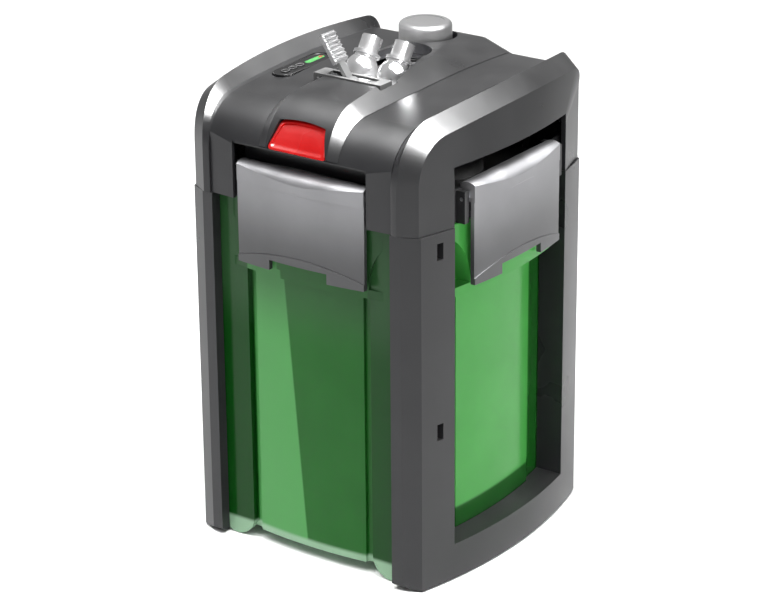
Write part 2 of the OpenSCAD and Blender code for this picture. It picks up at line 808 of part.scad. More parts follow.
// Clips
module clip(k) {
    c = clip_c(k);
    color([0.55, 0.55, 0.56]) on_face(k) difference() {
        union() {
            translate([0, 0, clip_bottom]) linear_extrude(axis_z - clip_bottom)
                bow_band(c - 0.8, clip_w, clip_t - 0.8);
            intersection() {
                translate([0, 0, clip_bottom]) linear_extrude(20) bow_band(c, clip_w, 1.8);
                translate([0, 0, clip_bottom - 177]) rotate([90, 0, 0]) cylinder(r = 191, h = 2 * hw);
            }
            intersection() {
                translate([0, 0, axis_z - 4]) linear_extrude(roll_r + 4) bow(c - 0.4, clip_w, 17);
                translate([-clip_w, -c + roll_r, axis_z]) x_pin(roll_r, 2 * clip_w);
            }
        }
        translate([-notch_hw, -c - 2, clip_bottom - 1]) cube([2 * notch_hw, 20, notch_h + 1]);
        for (s = [-1, 1]) translate([s * (clip_w / 2 - 5.4) - 5.6, -c + roll_r, axis_z])
            x_pin(pin_r + run, 11.2);
    }
}
module clip_front() {
    clip(0);
}
module clip_right() {
    clip(1);
}
module clip_rear() {
    clip(2);
}
module clip_left() {
    clip(3);
}
module clip_pins() {
    color([0.7, 0.7, 0.72]) for (k = [0:3], s = [0, 1]) on_face(k) mirror([s, 0, 0])
        translate([clip_w / 2 - 10, -clip_c(k) + roll_r, axis_z]) x_pin(pin_r, ear_out - clip_w / 2 + 9.8);
}

// Canister contents
module basket_plan(in) {
    difference() {
        can_plan(2 * wall + in);
        translate([tube_x, tube_y]) circle(tube_r + 1.5 + in);
    }
}
module down_tube() {
    color([0.25, 0.25, 0.26]) translate([tube_x, tube_y, can_floor + wall + 6]) difference() {
        cylinder(r = tube_r, h = plug_z - can_floor - wall - 6.5);
        translate([0, 0, -1]) cylinder(r = tube_r - 2, h = plug_z);
    }
}
module slotted_floor(z, h) {
    for (i = [0:slots - 1]) translate([-70, -76 + i * 152 / (slots - 1) - 2.5, z]) cube([140, 5, h]);
}
module bottom_grid() {
    color([0.3, 0.3, 0.3]) difference() {
        translate([0, 0, can_floor + wall]) linear_extrude(6) basket_plan(0);
        translate([0, 0, can_floor + wall - 1]) linear_extrude(5) basket_plan(2);
        slotted_floor(can_floor + wall, 20);
    }
}
module basket(z, h) {
    color([0.85, 0.85, 0.82]) difference() {
        translate([0, 0, z]) linear_extrude(h) basket_plan(0);
        translate([0, 0, z + 2]) linear_extrude(h) basket_plan(2);
        slotted_floor(z - 1, 5);
    }
}
module basket_lower() {
    basket(basket_z[0], basket_h);
}
module basket_middle() {
    basket(basket_z[1], basket_h);
}
module basket_upper() {
    basket(basket_z[2], basket_h);
}
module prefilter_tray() {
    basket(tray_z, plug_z - tray_z - 22);
}
module fill_block(z, h) {
    translate([0, 0, z]) linear_extrude(h) basket_plan(2.6);
}
module media_lower() {
    color([0.8, 0.7, 0.6]) fill_block(basket_z[0] + 2.2, basket_h - 14);
}
module media_middle() {
    color([0.7, 0.55, 0.45]) fill_block(basket_z[1] + 2.2, basket_h - 14);
}
module foam_upper() {
    color([0.2, 0.35, 0.7]) fill_block(basket_z[2] + 2.2, basket_h - 14);
}
module prefilter_pad() {
    color([0.9, 0.9, 0.9]) fill_block(tray_z + 2.2, 20);
}
module basket_handles() {
    color([0.25, 0.25, 0.26]) for (z = basket_z) translate([0, 0, z + basket_h - 8])
        for (s = [-1, 1]) translate([s * (can_hw - 22) - 1.5, -30, 0]) difference() {
            cube([3, 60, 7]);
            translate([-1, 6, -1]) cube([5, 48, 5]);
        }
}

canister();
clip_collars();
frame_left();
frame_right();
rubber_feet();
head_base();
head_gasket();
head_cover();
arch_left();
arch_right();
centre_fascia();
adapter_well();
lever_gate();
adapter_body();
spigot_rings();
valve_ball_left();
valve_ball_right();
lever();
lever_pin();
red_button();
red_button_spring();
priming_button();
priming_cylinder();
piston_seal();
priming_spring();
control_lens();
light_bar();
key_down();
key_mode();
key_up();
circuit_board();
motor_housing();
stator_core();
coil();
ceramic_shaft();
shaft_bushes();
magnet_rotor();
impeller();
pump_cover();
cable_gland();
clip_front();
clip_right();
clip_rear();
clip_left();
clip_pins();
down_tube();
bottom_grid();
basket_lower();
basket_middle();
basket_upper();
prefilter_tray();
media_lower();
media_middle();
foam_upper();
prefilter_pad();
basket_handles();
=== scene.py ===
# %% [markdown]
# # A canister filter, built around its CAD frame
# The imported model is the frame: every piece made here rides on one of its bodies, in metres.
# Sizes come from the frame's boxes, so the looks always fit the real parts.

# %% Load the frame
import bpy, bmesh, json, math
from mathutils import Matrix, Vector


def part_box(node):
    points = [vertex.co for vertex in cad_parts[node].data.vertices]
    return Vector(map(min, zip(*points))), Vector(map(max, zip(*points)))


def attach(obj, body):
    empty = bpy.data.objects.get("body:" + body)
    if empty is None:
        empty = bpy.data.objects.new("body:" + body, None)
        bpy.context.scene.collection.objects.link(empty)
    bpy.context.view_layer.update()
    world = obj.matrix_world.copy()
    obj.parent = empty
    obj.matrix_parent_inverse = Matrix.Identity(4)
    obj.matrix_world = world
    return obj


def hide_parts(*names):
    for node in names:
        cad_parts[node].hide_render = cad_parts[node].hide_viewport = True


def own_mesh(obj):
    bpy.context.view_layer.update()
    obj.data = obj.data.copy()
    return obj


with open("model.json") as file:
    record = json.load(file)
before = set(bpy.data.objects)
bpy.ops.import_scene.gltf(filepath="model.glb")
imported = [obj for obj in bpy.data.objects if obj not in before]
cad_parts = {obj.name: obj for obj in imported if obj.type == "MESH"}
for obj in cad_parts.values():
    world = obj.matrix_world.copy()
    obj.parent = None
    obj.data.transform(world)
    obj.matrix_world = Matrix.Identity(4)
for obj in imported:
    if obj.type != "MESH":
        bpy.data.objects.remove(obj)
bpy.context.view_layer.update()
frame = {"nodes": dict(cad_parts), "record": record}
nodes = frame["nodes"]
MM = 0.001

# %% [markdown]
# ## The camera
# A long lens from the front right, a little above the top: the filter is seen almost without
# perspective. The turn, the tilt and the slight roll are given as angles, and the matrix is
# put together from the camera's own right, up and back directions.

# %% Camera
CAM_AT = Vector((1.1993, -1.6888, 1.0065))
CAM_TURN, CAM_TILT, CAM_ROLL = math.radians(35.49), math.radians(21.78), math.radians(-0.48)
LENS_MM, SENSOR_MM = 133.8779, 36.0

def camera_axes(turn, tilt, roll):
    right = Vector((math.cos(turn), math.sin(turn), 0))
    back = Vector((math.sin(turn) * math.cos(tilt), -math.cos(turn) * math.cos(tilt), math.sin(tilt)))
    up = back.cross(right)
    c, s = math.cos(roll), math.sin(roll)
    return right * c + up * s, up * c - right * s, back

cam_data = bpy.data.cameras.new("camera")
cam_data.lens = LENS_MM
cam_data.sensor_width = SENSOR_MM
camera = bpy.data.objects.new("camera", cam_data)
right, up, back = camera_axes(CAM_TURN, CAM_TILT, CAM_ROLL)
turned = Matrix((right, up, back)).transposed().to_4x4()
camera.matrix_world = Matrix.Translation(CAM_AT) @ turned
bpy.context.scene.collection.objects.link(camera)
bpy.context.scene.camera = camera
print("lens", round(cam_data.lens, 1), "mm")

# %% [markdown]
# ## Small helpers
# Each mesh is made from plain lists of points and faces. One helper links it, shades it
# smoothly except over sharp edges, puts it on its body and gives it its finish.

# %% Mesh helpers
def sharp_smooth(mesh, angle=35):
    """Shade smoothly, but keep every edge that turns more than the angle crisp."""
    for p in mesh.polygons:
        p.use_smooth = True
    mesh.set_sharp_from_angle(angle=math.radians(angle))

def make_piece(name, points, faces, body, slot, angle=35):
    """A new piece from points in millimetres, riding on a body and wearing a slot's finish."""
    mesh = bpy.data.meshes.new(name)
    mesh.from_pydata([Vector(p) * MM for p in points], [], faces)
    bm = bmesh.new()
    bm.from_mesh(mesh)
    bmesh.ops.remove_doubles(bm, verts=bm.verts, dist=1e-6)
    bmesh.ops.recalc_face_normals(bm, faces=bm.faces)
    bm.to_mesh(mesh)
    bm.free()
    sharp_smooth(mesh, angle)
    mesh.materials.append(FINISH[slot])
    obj = bpy.data.objects.new(name, mesh)
    bpy.context.scene.collection.objects.link(obj)
    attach(obj, body)
    return obj

def box_mm(node):
    """The lowest and the highest corner of a CAD node, in millimetres."""
    return [Vector(corner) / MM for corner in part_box(node)]

def wear(mesh, finish):
    mesh.materials.clear()
    mesh.materials.append(finish)

for obj in nodes.values():
    sharp_smooth(obj.data)
print(len(nodes), "CAD nodes shaded")

# %% [markdown]
# ## Finishes
# Moulded plastic is never one flat colour: it has broad, soft mottling from the flow of the
# plastic, a fine spark-eroded grain, and gloss that varies a little. One node group makes
# these three, and each material sets its own tints, grain size and depth.

# %% The moulded grain group
def socket(tree, name, kind, out=False, value=None):
    s = tree.interface.new_socket(name=name, in_out="OUTPUT" if out else "INPUT", socket_type=kind)
    if value is not None:
        s.default_value = value
    return s

grain_group = bpy.data.node_groups.new("moulded grain", "ShaderNodeTree")
socket(grain_group, "Vector", "NodeSocketVector")
socket(grain_group, "Deep", "NodeSocketColor", value=(0.05, 0.05, 0.05, 1))
socket(grain_group, "Pale", "NodeSocketColor", value=(0.08, 0.08, 0.08, 1))
socket(grain_group, "Mottle Scale", "NodeSocketFloat", value=18.0)
socket(grain_group, "Grain Scale", "NodeSocketFloat", value=1400.0)
socket(grain_group, "Gloss Low", "NodeSocketFloat", value=0.3)
socket(grain_group, "Gloss High", "NodeSocketFloat", value=0.4)
socket(grain_group, "Color", "NodeSocketColor", out=True)
socket(grain_group, "Roughness", "NodeSocketFloat", out=True)
socket(grain_group, "Height", "NodeSocketFloat", out=True)

def add(tree, kind, at, **props):
    n = tree.nodes.new(kind)
    n.location = at
    for key, value in props.items():
        setattr(n, key, value)
    return n

def fill_grain(tree):
    link = tree.links.new
    start = add(tree, "NodeGroupInput", (-800, 0))
    end = add(tree, "NodeGroupOutput", (500, 0))
    mottle = add(tree, "ShaderNodeTexNoise", (-500, 200))
    mottle.inputs["Detail"].default_value = 3.0
    grain = add(tree, "ShaderNodeTexNoise", (-500, -200))
    grain.inputs["Detail"].default_value = 2.0
    link(start.outputs["Vector"], mottle.inputs["Vector"])
    link(start.outputs["Vector"], grain.inputs["Vector"])
    link(start.outputs["Mottle Scale"], mottle.inputs["Scale"])
    link(start.outputs["Grain Scale"], grain.inputs["Scale"])
    tint = add(tree, "ShaderNodeMix", (100, 250), data_type="RGBA")
    link(mottle.outputs["Fac"], tint.inputs["Factor"])
    link(start.outputs["Deep"], tint.inputs[6])
    link(start.outputs["Pale"], tint.inputs[7])
    gloss = add(tree, "ShaderNodeMapRange", (100, 0))
    gloss.inputs["From Min"].default_value = 0.3
    gloss.inputs["From Max"].default_value = 0.7
    link(mottle.outputs["Fac"], gloss.inputs["Value"])
    link(start.outputs["Gloss Low"], gloss.inputs["To Min"])
    link(start.outputs["Gloss High"], gloss.inputs["To Max"])
    link(tint.outputs[2], end.inputs["Color"])
    link(gloss.outputs["Result"], end.inputs["Roughness"])
    link(grain.outputs["Fac"], end.inputs["Height"])

fill_grain(grain_group)
print("group", grain_group.name, "with", len(grain_group.nodes), "nodes")

# %% [markdown]
# A material takes the group, feeds the three outputs to one Principled shader and keeps its
# constant values, such as metallic or coat, on the shader itself.

# %% Material maker
def linear(r, g, b):
    """Turn everyday 0-255 colour values into the linear ones that the shader wants."""
    return tuple(((c / 255 + 0.055) / 1.055) ** 2.4 if c > 10 else c / 255 / 12.92 for c in (r, g, b)) + (1,)

def moulded(name, deep, pale, gloss=(0.3, 0.4), grain=1400.0, bump=0.02, mottle=18.0, **fixed):
    mat = bpy.data.materials.new(name)
    mat.use_nodes = True
    tree = mat.node_tree
    shader = tree.nodes["Principled BSDF"]
    where = add(tree, "ShaderNodeTexCoord", (-900, 0))
    g = add(tree, "ShaderNodeGroup", (-600, 0), node_tree=grain_group)
    g.inputs["Deep"].default_value = linear(*deep)
    g.inputs["Pale"].default_value = linear(*pale)
    g.inputs["Mottle Scale"].default_value = mottle
    g.inputs["Grain Scale"].default_value = grain
    g.inputs["Gloss Low"].default_value, g.inputs["Gloss High"].default_value = gloss
    tree.links.new(where.outputs["Object"], g.inputs["Vector"])
    tree.links.new(g.outputs["Color"], shader.inputs["Base Color"])
    tree.links.new(g.outputs["Roughness"], shader.inputs["Roughness"])
    relief = add(tree, "ShaderNodeBump", (-300, -250))
    relief.inputs["Strength"].default_value = bump
    relief.inputs["Distance"].default_value = 0.0004
    tree.links.new(g.outputs["Height"], relief.inputs["Height"])
    tree.links.new(relief.outputs["Normal"], shader.inputs["Normal"])
    for key, value in fixed.items():
        shader.inputs[key.replace("_", " ")].default_value = value
    return mat

# %% [markdown]
# ## The palette
# Dark satin plastic for head and frames, a silkier mid grey with some metal flake in it for the
# clips, pale gloss for the adapter, red for the button, and each inner part's own material. The
# clips carry painted shade at the foot and painted light at the top, where their bow turns to the light.

# %% Materials
FINISH = {
    "dark_plastic": moulded("dark satin plastic", (28, 28, 30), (36, 36, 38), (0.27, 0.34), bump=0.03,
                             Specular_IOR_Level=0.3),
    "black_plastic": moulded("black plastic", (16, 16, 17), (26, 26, 27), (0.45, 0.6), bump=0.06),
    "light_plastic": moulded("pale gloss plastic", (176, 176, 177), (192, 192, 192), (0.12, 0.18), bump=0.01,
                             Metallic=0.55),
    "grey_plastic": moulded("light grey plastic", (118, 118, 119), (132, 132, 132), (0.36, 0.44), bump=0.03,
                             Specular_IOR_Level=0.25),
    "clip_grey": moulded("flake grey plastic", (104, 104, 106), (120, 120, 122), (0.3, 0.38), 900, 0.04,
                         30.0, Metallic=0.6),
    "red_plastic": moulded("red gloss plastic", (176, 2, 3), (192, 6, 5), (0.24, 0.32), bump=0.01,
                           Specular_IOR_Level=0.3),
    "black_gloss": moulded("black gloss plastic", (14, 14, 15), (20, 20, 22), (0.08, 0.14), bump=0.01),
    "green_light": moulded("green light guide", (70, 190, 80), (110, 215, 120), (0.2, 0.3), bump=0.01),
    "board_green": moulded("circuit board", (12, 60, 26), (20, 80, 36), (0.3, 0.4), 700, 0.1),
    "black_rubber": moulded("black rubber", (18, 18, 18), (30, 30, 30), (0.6, 0.75), 900, 0.15),
    "steel": moulded("steel", (150, 150, 153), (170, 170, 173), (0.25, 0.35), 900, 0.03, Metallic=1.0),
    "copper": moulded("enamelled wire", (160, 80, 34), (190, 104, 50), (0.2, 0.3), 600, 0.2, Metallic=1.0),
    "ceramic_white": moulded("glazed ceramic", (228, 228, 222), (238, 238, 232), (0.1, 0.2), bump=0.01),
    "magnet": moulded("ground magnet", (50, 50, 54), (70, 70, 74), (0.35, 0.5), 1200, 0.1, Metallic=0.8),
    "ceramic_media": moulded("porous ceramic", (170, 128, 100), (200, 160, 130), (0.8, 0.95), 260, 1.0),
    "foam_blue": moulded("open-cell foam", (36, 76, 150), (60, 104, 180), (0.85, 0.95), 420, 1.0),
    "fleece_white": moulded("fleece", (220, 220, 216), (238, 238, 236), (0.85, 0.95), 700, 0.8),
}

def paint_height_light_and_shade(mat, low, high, deep, pale):
    """Multiplies a finish by painted shade low down and painted light higher up, changing softly between two
    heights, in metres.
    """
    tree = mat.node_tree
    shader = tree.nodes["Principled BSDF"]
    source = shader.inputs["Base Color"].links[0].from_socket
    where = add(tree, "ShaderNodeTexCoord", (-900, 400))
    axes = add(tree, "ShaderNodeSeparateXYZ", (-700, 400))
    ramp = add(tree, "ShaderNodeMapRange", (-500, 400), interpolation_type="SMOOTHSTEP")
    tint = add(tree, "ShaderNodeMix", (-150, 300), data_type="RGBA", blend_type="MULTIPLY")
    tree.links.new(where.outputs["Object"], axes.inputs[0])
    tree.links.new(axes.outputs[2], ramp.inputs["Value"])
    ramp.inputs["From Min"].default_value, ramp.inputs["From Max"].default_value = low, high
    ramp.inputs["To Min"].default_value, ramp.inputs["To Max"].default_value = deep, pale
    tint.inputs["Factor"].default_value = 1.0
    tree.links.new(source, tint.inputs[6])
    tree.links.new(ramp.outputs["Result"], tint.inputs[7])
    tree.links.new(tint.outputs[2], shader.inputs["Base Color"])

CLIP_FOOT, CLIP_TOP = 0.246, 0.314
# painted shade at the foot of the clips and painted light toward their top
paint_height_light_and_shade(FINISH["clip_grey"], CLIP_FOOT, CLIP_TOP, 0.36, 1.2)
print(len(FINISH), "finishes made")

# %% [markdown]
# ## Clear green plastic
# A thick tinted wall looks dark where one sees deep into it and pale where light comes through
# from behind. The canister is full of baskets, so this light and shade is painted in zones in the
# node's own space: painted backlight on the side panels, painted shade on the corner tongues, a
# slanting painted reflection across the front, a painted light rim at the floor, and a painted
# shadow under the clips. A coat keeps the surface shiny.

# %% Green zones
def step(tree, value, low, high):
    """A soft 0-1 step as the value goes from low to high, in metres."""
    n = add(tree, "ShaderNodeMapRange", (-300, 0), interpolation_type="SMOOTHSTEP")
    n.inputs["From Min"].default_value, n.inputs["From Max"].default_value = low, high
    tree.links.new(value, n.inputs["Value"])
    return n.outputs["Result"]

def calc(tree, kind, a, b):
    n = add(tree, "ShaderNodeMath", (-200, 0), operation=kind)
    for k, v in enumerate((a, b)):
        if isinstance(v, (int, float)):
            n.inputs[k].default_value = v
        else:
            tree.links.new(v, n.inputs[k])
    return n.outputs[0]

def tinted(tree, fac, a, b):
    n = add(tree, "ShaderNodeMix", (0, 0), data_type="RGBA")
    tree.links.new(fac, n.inputs["Factor"])
    for k, v in ((6, a), (7, b)):
        if isinstance(v, tuple):
            n.inputs[k].default_value = v
        else:
            tree.links.new(v, n.inputs[k])
    return n.outputs[2]

zones = bpy.data.node_groups.new("green zones", "ShaderNodeTree")
socket(zones, "Color", "NodeSocketColor", out=True)
socket(zones, "Roughness", "NodeSocketFloat", out=True)

def fill_zones(tree):
    link = tree.links.new
    where = add(tree, "ShaderNodeTexCoord", (-1200, 0))
    axes = add(tree, "ShaderNodeSeparateXYZ", (-1000, 0))
    link(where.outputs["Object"], axes.inputs[0])
    x, y, z = axes.outputs
    ax, ay = calc(tree, "ABSOLUTE", x, 0), calc(tree, "ABSOLUTE", y, 0)
    noise = add(tree, "ShaderNodeTexNoise", (-800, 300))
    noise.inputs["Scale"].default_value = 22.0
    link(where.outputs["Object"], noise.inputs["Vector"])
    # faint vertical bands in the green, painted as reflections on the wall
    ribs = add(tree, "ShaderNodeTexWave", (-800, 500), wave_type="BANDS", bands_direction="X")
    ribs.inputs["Scale"].default_value = 9.0
    ribs.inputs["Distortion"].default_value = 0.6
    link(where.outputs["Object"], ribs.inputs["Vector"])
    base = tinted(tree, noise.outputs["Fac"], linear(18, 76, 20), linear(26, 90, 28))
    base = tinted(tree, calc(tree, "MULTIPLY", ribs.outputs["Fac"], 0.18), base, linear(18, 78, 22))
    # painted backlight on the flank panels, stopping short of their rear edge and lower rim, which keep the
    # darker base
    backlit_flank = calc(tree, "MULTIPLY", step(tree, ax, 0.0885, 0.0895), step(tree, y, 0.0585, 0.0545))
    backlit_flank = calc(tree, "MULTIPLY", backlit_flank, step(tree, z, 0.0445, 0.0475))
    # the pale colour of the painted backlight
    pale = tinted(tree, noise.outputs["Fac"], linear(60, 146, 60), linear(74, 160, 74))
    base = tinted(tree, backlit_flank, base, pale)
    # a painted reflection streak across the front, leaning with the height
    lean = calc(tree, "ADD", x, calc(tree, "MULTIPLY", z, 0.085))
    reflection_streak = calc(tree, "MULTIPLY", step(tree, lean, -0.0010, -0.0030), step(tree, x, -0.0560, -0.0545))
    reflection_streak = calc(tree, "MULTIPLY", reflection_streak, step(tree, ay, 0.095, 0.097))
    base = tinted(tree, reflection_streak, base, linear(70, 134, 72))
    # painted shade on the tongues at the corners, recessed between the frame posts and the front panel
    deep = calc(tree, "MULTIPLY", step(tree, ax, 0.0555, 0.0565), step(tree, ay, 0.0940, 0.0950))
    base = tinted(tree, deep, base, linear(4, 56, 8))
    # a painted shadow under the clips and a painted light rim along the floor
    clip_shadow = calc(tree, "MULTIPLY", step(tree, z, 0.170, 0.222), step(tree, ay, 0.095, 0.097))
    base = tinted(tree, calc(tree, "MULTIPLY", clip_shadow, 0.45), base, linear(52, 80, 54))
    floor_light_rim = step(tree, z, 0.0165, 0.0125)
    base = tinted(tree, floor_light_rim, base, linear(128, 160, 132))
    end = add(tree, "NodeGroupOutput", (600, 0))
    link(base, end.inputs["Color"])
    gloss = add(tree, "ShaderNodeMapRange", (200, -200))
    gloss.inputs["To Min"].default_value, gloss.inputs["To Max"].default_value = 0.14, 0.22
    link(noise.outputs["Fac"], gloss.inputs["Value"])
    link(gloss.outputs["Result"], end.inputs["Roughness"])

fill_zones(zones)

def clear_green(name, **fixed):
    mat = bpy.data.materials.new(name)
    mat.use_nodes = True
    tree = mat.node_tree
    shader = tree.nodes["Principled BSDF"]
    g = add(tree, "ShaderNodeGroup", (-400, 0), node_tree=zones)
    tree.links.new(g.outputs["Color"], shader.inputs["Base Color"])
    tree.links.new(g.outputs["Roughness"], shader.inputs["Roughness"])
    for key, value in fixed.items():
        shader.inputs[key.replace("_", " ")].default_value = value
    return mat

FINISH["green_plastic"] = clear_green("clear green, zoned", Specular_IOR_Level=0.14, Coat_Weight=0.03)
print("zones", len(zones.nodes), "nodes")

# %% [markdown]
# ## Every node gets its finish
# The record names a material slot for each CAD node, so one loop dresses them all. The lever's
# plate is a duller grey than its slot, to set off the paler ribs that are added later.

# %% Dress the nodes
for part in frame["record"]["subparts"]:
    wear(nodes[part["node"]].data, FINISH[part["material_slot"]])
wear(nodes["lever"].data, FINISH["grey_plastic"])

# %% [markdown]
# ## Soft edges on the moulded nodes
# Moulded parts have no razor edges: each corner has a small radius that catches the light. A
# bevel modifier adds that radius to the flat-sided nodes and leaves their own vertices alone.

# %% Bevels
SOFT_EDGE = {
    "frame_left": 1.3, "frame_right": 1.3, "head_cover": 1.0, "head_base": 0.8, "clip_collars": 0.6,
    "canister": 0.8, "lever": 0.5, "adapter_body": 0.6, "lever_gate": 0.4, "control_lens": 0.5,
    "key_down": 0.4, "key_mode": 0.4, "key_up": 0.4, "light_bar": 0.4, "cable_gland": 0.5,
    "spigot_rings": 0.4, "clip_front": 0.9, "clip_right": 0.9, "clip_rear": 0.9, "clip_left": 0.9,
}

def soften(obj, width, segments=3, angle=28):
    mod = obj.modifiers.new("soft edges", "BEVEL")
    mod.width = width * MM
    mod.segments = segments
    mod.limit_method = "ANGLE"
    mod.angle_limit = math.radians(angle)
    mod.harden_normals = True

for name, width in SOFT_EDGE.items():
    flat = nodes[name].modifiers.new("flat faces", "DECIMATE")
    flat.decimate_type = "DISSOLVE"
    flat.angle_limit = math.radians(0.3)
    soften(nodes[name], width)
print(len(SOFT_EDGE), "nodes softened")

# %% [markdown]
# ## The side profile of the head
# Arches and centre band are swept along one curve: up the front, round the shoulder, over the
# shallow crown, round the rear corner and down. The same numbers rule the CAD, so the finely
# stepped sweeps lie on its facets. `u` counts the five stretches and `n` moves outwards.

# %% Profile functions
HEAD_Z, FACE_Y, HALF_W = 285.3, 116.0, 119.0
CROWN_R, CROWN_Y, CROWN_Z = 1200.0, 30.0, 363.0 - 1200.0
SHOULDER_R, REAR_R = 38.0, 18.0
SHOULDER_Y, REAR_Y = -FACE_Y + SHOULDER_R, FACE_Y - REAR_R
SHOULDER_Z = CROWN_Z + math.sqrt((CROWN_R - SHOULDER_R) ** 2 - (SHOULDER_Y - CROWN_Y) ** 2)
REAR_Z = CROWN_Z + math.sqrt((CROWN_R - REAR_R) ** 2 - (REAR_Y - CROWN_Y) ** 2)
A_SHOULDER = math.degrees(math.atan2(SHOULDER_Z - CROWN_Z, SHOULDER_Y - CROWN_Y))
A_REAR = math.degrees(math.atan2(REAR_Z - CROWN_Z, REAR_Y - CROWN_Y))
COVER_X = 82.7

def mix(a, b, t):
    return a + (b - a) * t

def clamp01(t):
    return min(1.0, max(0.0, t))

def ease(t):
    t = clamp01(t)
    return t * t * (3 - 2 * t)

def arc(y, z, r, a):
    """The point at angle a, in degrees, on the circle of radius r round (y, z)."""
    return y + r * math.cos(math.radians(a)), z + r * math.sin(math.radians(a))

def profile(u, n):
    """The point at stretch u of the side profile, n millimetres outside it, as (y, z)."""
    if u < 1:
        return -FACE_Y - n, mix(HEAD_Z, SHOULDER_Z, u)
    if u < 2:
        return arc(SHOULDER_Y, SHOULDER_Z, SHOULDER_R + n, mix(180, A_SHOULDER, u - 1))
    if u < 3:
        return arc(CROWN_Y, CROWN_Z, CROWN_R + n, mix(A_SHOULDER, A_REAR, u - 2))
    if u < 4:
        return arc(REAR_Y, REAR_Z, REAR_R + n, mix(A_REAR, 0, u - 3))
    return FACE_Y + n, mix(REAR_Z, HEAD_Z, u - 4)

def lift(u):
    """How far the raised forms have risen: 0 at the front and rear seams, 1 on the crown."""
    return ease(u - 1) * (1 - ease(u - 3))

def place(x, yz):
    return x, yz[0], yz[1]

STATIONS = [k / 4 for k in range(4)] + [1 + k / 14 for k in range(14)] + \
    [2 + k / 22 for k in range(22)] + [3 + k / 10 for k in range(10)] + [4, 4.5, 5]
print(len(STATIONS), "stations; crown meets shoulder at", round(A_SHOULDER, 1), "degrees")

# %% [markdown]
# ## Sweeps and cut-outs
# A sweep joins rings of points into a tube, with closed ends or as a loop. Forms that follow a
# curve are made this way, because each ring can differ a little from the last. A cut-out is a
# temporary solid, taken away by an exact boolean and then thrown away.

# %% Sweep and carve
def sweep(name, rings, body, slot, angle=35, loop=False):
    """Joins rings of points into a tube, with closed ends or with its end joined to its start."""
    m, n = len(rings[0]), len(rings)
    points = [p for ring in rings for p in ring]
    faces = [(i * m + j, i * m + (j + 1) % m, (i + 1) % n * m + (j + 1) % m, (i + 1) % n * m + j)
             for i in range(n if loop else n - 1) for j in range(m)]
    if not loop:
        faces += [tuple(range(m)), tuple((n - 1) * m + j for j in reversed(range(m)))]
    return make_piece(name, points, faces, body, slot, angle)

def prism(outline, low, high, along="z"):
    """A straight-sided cutter from an outline, in millimetres, along Z or along Y."""
    m = len(outline)
    lift_to = (lambda p, h: (p[0], p[1], h)) if along == "z" else (lambda p, h: (p[0], h, p[1]))
    pts = [lift_to(p, h) for h in (low, high) for p in outline]
    faces = [(j, (j + 1) % m, m + (j + 1) % m, m + j) for j in range(m)]
    faces += [tuple(reversed(range(m))), tuple(range(m, 2 * m))]
    mesh = bpy.data.meshes.new("cutter")
    mesh.from_pydata([Vector(p) * MM for p in pts], [], faces)
    bm = bmesh.new()
    bm.from_mesh(mesh)
    bmesh.ops.recalc_face_normals(bm, faces=bm.faces)
    bm.to_mesh(mesh)
    bm.free()
    obj = bpy.data.objects.new("cutter", mesh)
    bpy.context.scene.collection.objects.link(obj)
    return obj

def disc(cx, cy, r, steps=64):
    return [(cx + r * math.cos(2 * math.pi * k / steps), cy + r * math.sin(2 * math.pi * k / steps))
            for k in range(steps)]

def carve(obj, *cutters):
    for cutter in cutters:
        mod = obj.modifiers.new("cut", "BOOLEAN")
        mod.operation = "DIFFERENCE"
        mod.solver = "EXACT"
        mod.object = cutter
    bpy.context.view_layer.update()
    done = bpy.data.meshes.new_from_object(obj.evaluated_get(bpy.context.evaluated_depsgraph_get()))
    obj.modifiers.clear()
    obj.data = done
    for cutter in cutters:
        bpy.data.objects.remove(cutter)
    sharp_smooth(done, 30)

# %% [markdown]
# ## The side arches
# Each arch is one thick shell: it rises from the cover to a ridge, falls in a broad sloping
# band, which is the bright stripe, and turns down into the side wall over the clip. The
# window for the clip is cut out of that wall. The left arch is the mirror of the right one.

# %% Arches
SIDE_BOW, CORNER_BOW = 1405.0, 800.0
WINDOW_HALF, WINDOW_TOP = 75.5, 331.0

def arch_ring(u, side):
    b = lift(u)
    y0 = profile(u, 0)[0]
    e = HALF_W - 7 - y0 * y0 / SIDE_BOW
    s = mix(-71, -66, clamp01(u - 1)) + mix(0, 132, clamp01(u - 2)) + mix(0, 5, clamp01(u - 3))
    z = mix(HEAD_Z, SHOULDER_Z, u) if u < 1 else SHOULDER_Z if u < 4 else mix(SHOULDER_Z, HEAD_Z, u - 4)
    x = HALF_W - s * s / CORNER_BOW
    ring = [place(COVER_X + 0.3, profile(u, -0.6)), place(COVER_X + mix(1.3, 4, b), profile(u, -0.2)),
            place(e - 14, profile(u, mix(0, 9, b))), place(e, profile(u, mix(-8, -1.5, b))),
            place(x, (s, z)), place(x - 4, (s, z)), place(e - 4, profile(u, mix(-12, -5.5, b))),
            place(e - 15, profile(u, mix(-4, 4.5, b))), place(COVER_X + 0.3, profile(u, -4.4))]
    return [(side * p[0], p[1], p[2]) for p in ring]

for side, label in ((1, "right"), (-1, "left")):
    arch = sweep("arch_shell_" + label, [arch_ring(u, side) for u in STATIONS], "chassis", "dark_plastic")
    low, high = sorted((side * 95, side * 130))
    window = [(low, -WINDOW_HALF), (high, -WINDOW_HALF), (high, WINDOW_HALF), (low, WINDOW_HALF)]
    carve(arch, prism(window, 270, WINDOW_TOP))
    soften(arch, 1.3, 3, 24)
    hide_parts("arch_" + label)
    print(arch.name, len(arch.data.vertices), "vertices")

# %% [markdown]
# ## The centre band
# A raised band runs from the red button over the top to the rear. It is narrow at the front and
# spreads backwards, with a sloping flank on each side. The button's seat, the adapter's well and
# the ring round the priming button are cut through it.

# %% Centre band
BAND_SPREAD = 170.0

